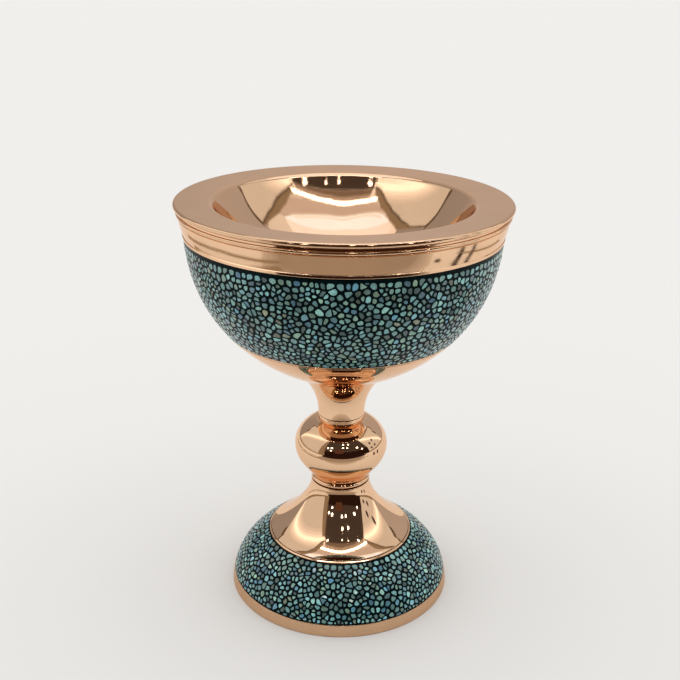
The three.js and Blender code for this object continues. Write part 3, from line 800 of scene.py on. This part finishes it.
def chip_outline(cell, radius, random):
    """Pebble-like outline of a chip in its cell, less its share of the joint round it."""
    middle = cell.mean(axis=0)
    edges = np.roll(cell, -1, axis=0) - cell
    normals = np.stack([edges[:, 1], -edges[:, 0]], axis=1) / np.hypot(*edges.T)[:, None]
    clear = ((cell - middle) * normals).sum(axis=1).mean() * radius
    joint = random.uniform(CHIP_LEAST_JOINT, CHIP_MOST_JOINT)
    scale = max(CHIP_LEAST_SCALE, 1 - joint / 2 / clear)
    worn = random.uniform(CHIP_LEAST_WEAR, 1.0, len(cell))
    reaches = np.hypot(*(cell - middle).T)
    usual = reaches.mean() * CHIP_FAR_CORNER
    drawn_in = usual + (reaches - usual) * CHIP_FAR_CORNER_KEPT
    rounding = np.where(reaches > usual, drawn_in / reaches, 1)
    spokes = (cell - middle) * (scale * worn * rounding)[:, None]
    turn = random.uniform(0, math.pi)
    narrow = np.array([math.cos(turn), math.sin(turn)])
    spokes -= np.outer(spokes @ narrow, narrow) * random.uniform(0, CHIP_MOST_NARROWING)
    ring = cut_corners(spokes)
    sides = np.hypot(*(ring - np.roll(ring, 1, axis=0)).T) * radius
    keep = np.ones(len(ring), bool)
    for i in range(1, len(ring)):
        keep[i] = sides[i] > CHIP_LEAST_SIDE or not keep[i - 1]
    return middle, middle + ring[keep]


def chips(name, replaced, outline, start, end, seed, tone=1.0):
    """Flush chips of one band. Each is a low block with sloping sides, set in the mastic. tone brightens
    every chip of the band; above 1 it is painted light.
    """
    cells, steps, rise = chip_cells(outline, start, end, seed)
    random = np.random.RandomState(seed + 1)
    vertices, faces, tints, tones_and_painted_light = [], [], [], []
    for cell in cells:
        length = np.interp(cell[:, 1].mean(), rise, steps)
        radius = outline.at(length)[0]
        middle, ring = chip_outline(cell, radius, random)
        reaches = np.hypot(*(ring - middle).T) * radius
        inset = middle + (ring - middle) * (1 - CHIP_SLOPE / reaches)[:, None]
        height = random.uniform(0, CHIP_UNEVENNESS)
        lean = random.normal(0, CHIP_TILT, 2)
        rise_of_lean = ((inset - middle) * radius) @ lean
        depth = height + rise_of_lean.max() - rise_of_lean
        first = len(vertices)
        for corners, depths in ((ring, np.full(len(ring), CHIP_DEPTH)), (inset, depth)):
            r, z = outline.at(np.interp(corners[:, 1], rise, steps), depths)
            vertices += [(a * math.cos(t), a * math.sin(t), b) for a, b, t in zip(r, z, corners[:, 0])]
        n = len(ring)
        bottom = list(range(first, first + n))
        top = list(range(first + n, first + 2 * n))
        # Turns run against the outline, so the outer side is clockwise here
        faces.append(top[::-1])
        faces.append(bottom)
        for i in range(n):
            j = (i + 1) % n
            faces.append([bottom[i], top[i], top[j], bottom[j]])
        tints += [random.uniform()] * (n + 2)
        # Each chip's own tone times the band's tone, which on the foot is painted light
        tones_and_painted_light += [tone * random.choice(CHIP_TONES, p=CHIP_TONE_SHARES)] * (n + 2)
    mesh = bpy.data.meshes.new(name)
    mesh.from_pydata(vertices, [], faces)
    for key, values in (("chip_tint", tints), ("chip_tone_and_painted_light", tones_and_painted_light)):
        mesh.attributes.new(key, "FLOAT", "FACE").data.foreach_set("value", values)
    mesh.materials.append(TURQUOISE)
    return add(new_object(name, mesh), replaced)


def make_pieces():
    basin_liner()
    rim_collar()
    bowl_shell()
    border_wire("bowl_wire", "bowl_border_wire", BOWL, BOWL_BAND + GAP)
    mastic_fill("bowl_mastic", "bowl_mastic_bed", BOWL, 0, BOWL_BAND)
    chips("bowl_chips", "bowl_turquoise_inlay", BOWL, CHIP_CLEAR_OF_COLLAR, BOWL_BAND, BOWL_SEED)
    stem_neck()
    knop_upper_half()
    knop_lower_half()
    stem_collar()
    foot_shell()
    border_wire("foot_wire", "foot_border_wire", DOME, GAP)
    foot_end = DOME.length - GAP
    mastic_fill("foot_mastic", "foot_mastic_bed", DOME, WIRE_SEAT, foot_end)
    # The foot chips get a raised tone: painted light
    chips("foot_chips", "foot_turquoise_inlay", DOME, WIRE_SEAT, foot_end, FOOT_SEED, FOOT_CHIPS_PAINTED_LIGHT)
    base_ring()
    for name in ("tie_rod", "foot_washer", "foot_nut", "bowl_washer", "bowl_nut"):
        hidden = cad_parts[name]
        hidden.data.materials.clear()
        hidden.data.materials.append(STEEL)


# Camera, as fitted to the photo
FOCAL_PIXELS = 1001
SENSOR = 36
CAMERA_BACK = 434.5 * MM
CAMERA_HEIGHT = 293.8 * MM
CAMERA_DOWN = math.radians(21.1)
CAMERA_ROLL = math.radians(0.70)
CAMERA_ASIDE = -1.07 * MM


def make_camera():
    data = bpy.data.cameras.new("camera")
    data.sensor_width = SENSOR
    data.lens = SENSOR * FOCAL_PIXELS / PICTURE_SIDE
    data.clip_start = 0.01
    data.clip_end = 100
    camera = new_object("camera", data)
    camera.location = (CAMERA_ASIDE, -CAMERA_BACK, CAMERA_HEIGHT)
    camera.rotation_mode = "XYZ"
    level = Matrix.Rotation(math.pi / 2 - CAMERA_DOWN, 3, "X")
    camera.rotation_euler = (level @ Matrix.Rotation(CAMERA_ROLL, 3, "Z")).to_euler()
    bpy.context.scene.camera = camera


def stage_mesh(name, vertices, faces, made):
    mesh = bpy.data.meshes.new(name)
    mesh.from_pydata(vertices, [], faces)
    mesh.materials.append(made)
    obj = new_object(name, mesh)
    return obj


# Floor and world
FLOOR_COLOUR = (0.72, 0.71, 0.69, 1)
FLOOR_SIDE = 16
WORLD_STRENGTH = 1.4
BACKDROP_COLOUR = (0.86, 0.86, 0.85, 1)


def make_floor():
    made = principled("pale_floor", Base_Color=FLOOR_COLOUR, Roughness=0.7, Specular_IOR_Level=0.0)[0]
    side = FLOOR_SIDE / 2
    corners = [(-side, -side, 0), (side, -side, 0), (side, side, 0), (-side, side, 0)]
    stage_mesh("floor", corners, [range(4)], made)


def make_world():
    """Soft light, stronger from above and weaker from the camera's side. The backdrop is plain."""
    world = bpy.data.worlds.new("room")
    world.use_nodes = True
    tree = world.node_tree
    light = tree.nodes["Background"]
    coords = node(tree, "ShaderNodeTexCoord")
    direction = node(tree, "ShaderNodeSeparateXYZ", {"Vector": coords.outputs["Generated"]})
    full = (1, 1, 1)
    stops = [(0.0, (0.45, 0.45, 0.46)), (0.4, full), (0.65, full), (1.0, (0.85, 0.85, 0.85))]
    level = ramp(tree, span(tree, direction.outputs["Y"], 0, 1, -1, 1), stops)
    upward = ramp(tree, direction.outputs["Z"], [(0.0, (0.76, 0.76, 0.76)), (0.6, full)])
    connect(light, Color=product(tree, level, upward))
    light.inputs["Strength"].default_value = WORLD_STRENGTH
    backdrop = node(tree, "ShaderNodeBackground", {"Color": BACKDROP_COLOUR, "Strength": 1.0})
    rays = node(tree, "ShaderNodeLightPath").outputs
    mirrors = {0: rays["Is Glossy Ray"], 1: rays["Is Transmission Ray"]}
    mirrored = node(tree, "ShaderNodeMath", mirrors, operation="MAXIMUM")
    views = {0: rays["Is Camera Ray"], 1: mirrored.outputs["Value"]}
    seen = node(tree, "ShaderNodeMath", views, operation="MAXIMUM")
    either = {0: seen.outputs["Value"], 1: light.outputs["Background"], 2: backdrop.outputs["Background"]}
    mix = node(tree, "ShaderNodeMixShader", either)
    connect(tree.nodes["World Output"], Surface=mix.outputs["Shader"])
    bpy.context.scene.world = world


# Light tent round the bowl. Its cards are seen by reflections alone. Those far off are placed by the
# directions in degrees in which the bowl sees them: azimuth 0 is the camera's side and 90 the right.
TENT_CENTRE = Vector((0, 0, 100)) * MM
SHEET_DISTANCE = 2.4
WALL_DISTANCE = 2.2
LIGHT_DISTANCE = 2.19
TRIM_DISTANCE = 2.0
LAMP_DISTANCE = 1.6
LAYER = 0.1
LIGHT_LAYER = 0.02
CARD_STEP = 6
DISC_SIDES = 12
HORIZON = -3
CEILING = 89.9

PALE = (0.72, 0.72, 0.70)
GREY = (0.57, 0.555, 0.56)
WHITE = (1.0, 0.98, 0.95)
COOL_WHITE = (0.80, 0.95, 1.15)
SOFT_WHITE = (0.92, 0.95, 1.02)
DULL_WHITE = (0.66, 0.60, 0.58)
PALE_BROWN = (0.46, 0.39, 0.34)
DIM_BROWN = (0.38, 0.33, 0.28)
BROWN = (0.30, 0.24, 0.17)
DEEP_BROWN = (0.22, 0.17, 0.13)
DARK_BROWN = (0.13, 0.10, 0.07)
DARK_RED = (0.11, 0.05, 0.03)
DARK = (0.065, 0.052, 0.045)
DARKER = (0.022, 0.010, 0.007)
DIM_FLOOR_TINT = (1, 0.93, 0.85)

# Open front: the dark room, what is in it, and the line of light over its header
WINDOW_TOP = [(-45, 56), (-25, 60), (0, 61.5), (25, 60), (45, 56), (63, 50)]
WINDOW_RIGHT = [(73, HORIZON), (71, 18), (66, 35), (63, 50)]
WINDOW_LEFT = [(-40, HORIZON), (-40, 56)]
WINDOW_SIDE = [(-54, 30), (-48, 52), (-40, 53), (-40, HORIZON), (-56, HORIZON)]
WINDOW_EDGE = [(-42, 54), (-39, 54), (-39, 10), (-42, 10)]
ROOM_LOW = [(-40, 20), (70, 20), (73, HORIZON), (-40, HORIZON)]
ROOM_THING = [(-16, 30), (8, 30), (6, 14), (-14, 14)]
LIGHT_LINE = [(-52, 61), (-30, 66.5), (-10, 69), (5, 69.5), (20, 68), (40, 64), (56, 58), (69, 51.5)]
LIGHT_LINE_WIDTH = 2
LIGHT_LINE_LEVEL = 9
HEADER_HEIGHT = 4.5

# Side walls: the middle of each band of light, the seam to the ceiling and the edge at the back
LEFT_BAND = [(-40, 55), (-55, 53.5), (-70, 49.5), (-85, 44), (-97, 37)]
LEFT_BAND += [(-108, 28), (-117, 18), (-123, 8), (-125, HORIZON)]
LEFT_SEAM = [(-42, 56), (-50, 56), (-67, 58.5), (-85, 58.5), (-106, 54.5), (-120, 48.5), (-131, 37)]
LEFT_TOP = [(-46, 59), (-66, 63), (-97, 61.5), (-116, 57), (-131, 38)]
LEFT_EDGE = [(-131, 37), (-128, 32), (-122, 28), (-122, 20)]
LEFT_FOOT = [(-125, HORIZON), (-40, HORIZON)]
RIGHT_BAND = [(63, 50), (72, 46), (82, 41), (92, 34.5), (102, 26), (111, 16), (118, 7), (122, HORIZON)]
RIGHT_SEAM = [(64, 50), (74, 49.5), (84, 48.3), (91, 47.3), (105, 45.8), (119, 41.8), (129, 38)]
RIGHT_TOP = [(67, 53), (75, 52), (87, 52.5), (104, 50), (116, 45.5), (130, 39)]
RIGHT_EDGE = [(129, 38), (126, 33), (123, 30.5), (119, 29), (119, 20)]
RIGHT_FOOT = [(122, HORIZON), (73, HORIZON)]

# Lines of each side, the rest of its outline, and the sign of its azimuths
SIDES = [
    ("left", LEFT_BAND, LEFT_SEAM, LEFT_TOP, LEFT_EDGE, LEFT_FOOT, [], -1),
    ("right", RIGHT_BAND, RIGHT_SEAM, RIGHT_TOP, RIGHT_EDGE, RIGHT_FOOT, WINDOW_RIGHT[1:], 1),
]
BACK = [(-245, HORIZON), (-115, HORIZON), (-115, 68), (-200, 68), (-230, 40), (-245, 44)]
BACK_LEVELS = (0.62, 1, 0.83)

# Width and level of the nested strips that make up each band of light
SIDE_LIGHTS = [(17, 0.82), (12, 0.98), (7.5, 1.2), (3.5, 1.7)]
SEAM_WIDTH = 1.2
BACK_EDGE_WIDTH = 3.5
FOOT_WIDTH = 4
FOOT_RISE = 2

# Ceiling: the front edge of its bright middle, the edge behind, and rise and level of the lines
CEILING_FRONT = [(-97, 61.5), (-74, 64.5), (-55, 71), (-30, 77), (0, 79.5)]
CEILING_FRONT += [(30, 78), (60, 72), (80, 65), (92, 59), (104, 53)]
CEILING_BACK = [(104, 53), (116, 56), (132, 63), (152, 69), (180, 72)]
CEILING_BACK += [(212, 69), (234, 63), (248, 60), (263, 61.5)]
CEILING_EDGE = 56
CEILING_LEVEL = 1.1
FRONT_LAMP_LEVEL = 1.5
BACK_LAMP_LEVEL = 1.25
CEILING_LINES = [(-0.5, 0.9), (2.5, 1.1)]
CEILING_LINE_WIDTH = 1.5

# Azimuth, elevation, width and height of the room's lamps, and the dark slats on the right
LAMP_LEVEL = 12
LAMPS = [
    (7, 58, 3, 0.8), (24, 57.4, 2.5, 0.7), (-34, 56.4, 6, 0.9), (50, 53.6, 6, 0.9), (7, 49, 5, 2.6),
    (24, 47.5, 4.5, 2.6), (6, 37, 4.5, 3.6), (18, 36, 4, 3.2), (-25, 34, 5, 4), (-35, 31, 4, 3),
    (-26, 24, 4, 3.5), (45, 31, 5, 3.5), (56, 21, 3, 3),
]
SLATS = [(83, 24), (95, 26), (82, 9), (94, 10)]
SLAT_SIZE = (6, 7)

# On the floor, (x, y) in millimetres: lines of painted shade along the walls' feet, and the dark floor in
# front
FLOOR_SHADE_LINES = [
    ("left_floor_shade_line", 32, [(-345, 330), (-348, 120), (-325, 0), (-270, -90), (-180, -198)]),
    ("left_floor_mark", 34, [(-290, 250), (-275, 120), (-240, 10), (-195, -80), (-150, -160)]),
    ("right_floor_shade_line", 20, [(345, 330), (350, 120), (345, -60)]),
]
FLOOR_MARK = [(262, -108), (250, -128)]
FLOOR_MARK_WIDTH = 34
FRONT_NEAR = -165
FRONT_LEFT = -150
FRONT_RIGHT = 165
ROOM_NEAR = -400
ROOM_LEFT = -380
ROOM_RIGHT = 520
DARK_FLOOR = [(ROOM_LEFT, ROOM_NEAR), (780, ROOM_NEAR), (3200, -2200), (-2200, -2200)]

# Spread and level of the dim floors, and azimuth and width of the posts
DIM_FLOORS = [(45, 0.60), (30, 0.53), (15, 0.46)]
DIM_HEIGHT = 0.4
DIM_LAYER = 0.15
FLOOR_CARD_HEIGHT = 1
FLOOR_LINE_HEIGHT = 1.5
POSTS = [(84, 26), (96, 22)]
POST_RUN = (210, 300, 400, 480)


def glow(name, colour, strength=1.0, across=None):
    """Plain light of a card. across gives its level at the far left, the middle and the far right."""
    made = bpy.data.materials.new(name)
    made.use_nodes = True
    tree = made.node_tree
    tree.nodes.clear()
    light = node(tree, "ShaderNodeEmission", {"Color": (*colour, 1), "Strength": strength})
    if across:
        coords = node(tree, "ShaderNodeTexCoord")
        place = node(tree, "ShaderNodeSeparateXYZ", {"Vector": coords.outputs["Object"]})
        share = span(tree, place.outputs["X"], 0, 1, -SHEET_DISTANCE / 2, SHEET_DISTANCE / 2)
        levels = [tuple(c * level for c in colour) for level in across]
        connect(light, Color=ramp(tree, share, list(zip((0, 0.5, 1), levels))))
    output = node(tree, "ShaderNodeOutputMaterial")
    connect(output, Surface=light.outputs["Emission"])
    return made


def aim(azimuth, elevation, distance):
    """The place at a distance from the middle of the bowl, in a direction."""
    a, e = math.radians(azimuth), math.radians(elevation)
    away = Vector((math.cos(e) * math.sin(a), -math.cos(e) * math.cos(a), math.sin(e)))
    return TENT_CENTRE + distance * away


def mirrored_only(obj):
    obj.visible_camera = False
    obj.visible_diffuse = False
    obj.visible_shadow = False


def grid_line(values):
    return np.arange(min(values) + CARD_STEP / 2, max(values), CARD_STEP)


def card(name, corners, distance, made):
    """A card with (azimuth, elevation) corners, bent to keep its distance."""
    outline = []
    for here, there in zip(corners, corners[1:] + corners[:1]):
        farthest = max(abs(there[0] - here[0]), abs(there[1] - here[1]))
        steps = max(1, math.ceil(farthest / CARD_STEP))
        for i in range(steps):
            outline.append(tuple(a + (b - a) * i / steps for a, b in zip(here, there)))
    azimuths, elevations = zip(*corners)
    grid = [(a, e) for a in grid_line(azimuths) for e in grid_line(elevations)]
    points, triangles = fill(outline, grid)
    mirrored_only(stage_mesh(name, [aim(a, e, distance) for a, e in points], triangles, made))


def fill(outline, inner=()):
    """Triangles that fill an outline, with inner points where they lie inside it."""
    points = [Vector(p) for p in list(outline) + list(inner)]
    result = delaunay_2d_cdt(points, [], [list(range(len(outline)))], 1, 1e-5)
    return [tuple(p) for p in result[0]], result[2]


def disc(name, azimuth, elevation, wide, high, made):
    turns = [math.tau * i / DISC_SIDES for i in range(DISC_SIDES)]
    corners = [(azimuth + wide / 2 * math.cos(t), elevation + high / 2 * math.sin(t)) for t in turns]
    card(name, corners, LAMP_DISTANCE, made)


def lifted(line, rise):
    return [(a, e + rise) for a, e in line]


def smooth(line):
    """The same line with its corners cut twice."""
    for _ in range(2):
        cut = []
        for (a, b), (c, d) in zip(line, line[1:]):
            cut += [(a + (c - a) * share, b + (d - b) * share) for share in (0.25, 0.75)]
        line = [line[0]] + cut + [line[-1]]
    return line


def strip(name, line, width, distance, made):
    """A card along a line of directions, width degrees high."""
    card(name, lifted(line, width / 2) + lifted(line, -width / 2)[::-1], distance, made)


def floor_card(name, corners, made, height=FLOOR_CARD_HEIGHT):
    """A card lying on the floor, with (x, y) corners and its height in millimetres."""
    points, triangles = fill(corners)
    mirrored_only(stage_mesh(name, [Vector((x, y, height)) * MM for x, y in points], triangles, made))


def floor_line(name, line, width, made):
    """A strip on the floor along (x, y) points in millimetres."""
    points = [Vector(p) for p in line]
    sides = []
    for i, here in enumerate(points):
        along = points[min(i + 1, len(points) - 1)] - points[max(i - 1, 0)]
        sides.append(Vector((-along.y, along.x)).normalized() * width / 2)
    outer = [p + side for p, side in zip(points, sides)]
    inner = [p - side for p, side in zip(points, sides)]
    floor_card(name, [tuple(p) for p in outer + inner[::-1]], made, FLOOR_LINE_HEIGHT)


def tent_walls():
    """Two pale side walls, each with a band of light, dark seams and a foot of painted shade, and the grey
    back.
    """
    pale, brown, dark = glow("tent_wall", PALE), glow("tent_frame_and_shade", BROWN), glow("tent_seam", DARK_BROWN)
    lights = [glow(f"tent_light_{i}", WHITE, level) for i, (_, level) in enumerate(SIDE_LIGHTS)]
    for side, band, seam, seam_top, edge, foot, front, outward in SIDES:
        card(f"{side}_wall", seam + edge[1:] + foot + front, WALL_DISTANCE, pale)
        for i, (wide, _) in enumerate(SIDE_LIGHTS):
            strip(f"{side}_light_{i}", smooth(band), wide, LIGHT_DISTANCE - LIGHT_LAYER * i, lights[i])
        card(f"{side}_seam", seam + seam_top[::-1], TRIM_DISTANCE + LAYER, brown)
        strip(f"{side}_seam_line", seam, SEAM_WIDTH, TRIM_DISTANCE, dark)
        moved = [(a + outward * BACK_EDGE_WIDTH, e) for a, e in edge]
        card(f"{side}_edge", edge + moved[::-1], TRIM_DISTANCE, dark)
        # Brown strip of painted shade along the foot of each wall, where it meets the floor
        strip(f"{side}_foot", lifted(foot, FOOT_RISE), FOOT_WIDTH, TRIM_DISTANCE, brown)
    card("back", BACK, SHEET_DISTANCE, glow("tent_back", GREY, across=BACK_LEVELS))


def tent_window():
    """The open front: a dark room, with a header above it and a line of light along its top."""
    dark, darker, brown = glow("dark_room", DARK), glow("dark_floor", DARKER), glow("window_side", BROWN)
    seam, thing = glow("window_edge", DARK_BROWN), glow("room_thing", DARK_RED)
    card("room", smooth(WINDOW_TOP) + WINDOW_RIGHT[-2::-1] + WINDOW_LEFT, WALL_DISTANCE - LAYER, dark)
    card("room_low", ROOM_LOW, WALL_DISTANCE - 2 * LAYER, darker)
    card("room_thing", ROOM_THING, WALL_DISTANCE - 3 * LAYER, thing)
    card("window_side", WINDOW_SIDE, WALL_DISTANCE - LAYER, brown)
    card("window_edge", WINDOW_EDGE, WALL_DISTANCE - 2 * LAYER, seam)
    lower, upper = glow("header_low", DEEP_BROWN), glow("header", PALE_BROWN)
    line = smooth(LIGHT_LINE)
    header_foot = lifted(line, -HEADER_HEIGHT)
    card("header_low", smooth(WINDOW_TOP) + header_foot[::-1], WALL_DISTANCE, lower)
    card("header", header_foot + line[::-1], WALL_DISTANCE, upper)
    light = glow("front_light", WHITE, LIGHT_LINE_LEVEL)
    strip("front_light", line, LIGHT_LINE_WIDTH, TRIM_DISTANCE, light)


def tent_ceiling():
    """Over the bowl: a duller front part with two lines across, then the white top and its lamp."""
    edge = smooth(CEILING_FRONT)
    front = LEFT_TOP[1:3][::-1] + smooth(LIGHT_LINE) + RIGHT_TOP[1:4] + edge[::-1]
    card("ceiling_front", front, WALL_DISTANCE, glow("ceiling_front", DULL_WHITE))
    whole = [(-180, CEILING_EDGE), (180, CEILING_EDGE), (180, CEILING), (-180, CEILING)]
    card("ceiling", whole, SHEET_DISTANCE - LAYER / 2, glow("ceiling", WHITE, CEILING_LEVEL))
    lamp = glow("ceiling_lamp", COOL_WHITE, FRONT_LAMP_LEVEL)
    back_lamp = glow("ceiling_lamp_back", SOFT_WHITE, BACK_LAMP_LEVEL)
    for name, line, made in (("front", edge, lamp), ("back", CEILING_BACK, back_lamp)):
        top = [(line[-1][0], CEILING), (line[0][0], CEILING)]
        card(f"ceiling_lamp_{name}", line + top, SHEET_DISTANCE - LAYER, made)
    for i, (rise, level) in enumerate(CEILING_LINES):
        light = glow(f"ceiling_line_{i}", WHITE, level)
        strip(f"ceiling_line_{i}", lifted(edge[4:-4], rise), CEILING_LINE_WIDTH, TRIM_DISTANCE, light)


def tent_lamps():
    lamp, slat = glow("lamp", WHITE, LAMP_LEVEL), glow("slat", DARK)
    for i, place_and_size in enumerate(LAMPS):
        disc(f"lamp_{i}", *place_and_size, lamp)
    for i, place in enumerate(SLATS):
        disc(f"slat_{i}", *place, *SLAT_SIZE, slat)


def front_floor(out=0):
    """Corners of the dim floor between the bowl and the dark room, spread outwards."""
    near = [(FRONT_LEFT - out, FRONT_NEAR + out), (FRONT_RIGHT + out, FRONT_NEAR + out)]
    return near + [(ROOM_RIGHT + 2 * out, ROOM_NEAR), (ROOM_LEFT - 2 * out, ROOM_NEAR)]


def tent_floor():
    """What the bowl mirrors of the floor: lines of painted shade at the walls' feet and the dark room in
    front.
    """
    brown, dim, dark = glow("floor_shade", BROWN), glow("floor_front", DIM_BROWN), glow("room_floor", DARKER)
    # Brown lines of painted shade where the walls meet the floor
    for name, wide, line in FLOOR_SHADE_LINES:
        floor_line(name, line, wide, brown)
    for i, (out, level) in enumerate(DIM_FLOORS):
        made = glow(f"dim_floor_{i}", tuple(level * c for c in DIM_FLOOR_TINT))
        floor_card(f"dim_floor_{i}", front_floor(out), made, DIM_HEIGHT + DIM_LAYER * i)
    floor_card("half_dark_floor", front_floor(), dim)
    floor_card("dark_floor", DARK_FLOOR, dark)
    for i, (azimuth, wide) in enumerate(POSTS):
        away = Vector((math.sin(math.radians(azimuth)), -math.cos(math.radians(azimuth))))
        floor_line(f"post_{i}", [tuple(away * d) for d in POST_RUN], wide, dark)
    floor_line("mark", FLOOR_MARK, FLOOR_MARK_WIDTH, dark)


def make_tent():
    tent_walls()
    tent_window()
    tent_ceiling()
    tent_lamps()
    tent_floor()


make_pieces()
make_camera()
make_floor()
make_world()
make_tent()
bpy.context.scene.view_settings.view_transform = "Standard"
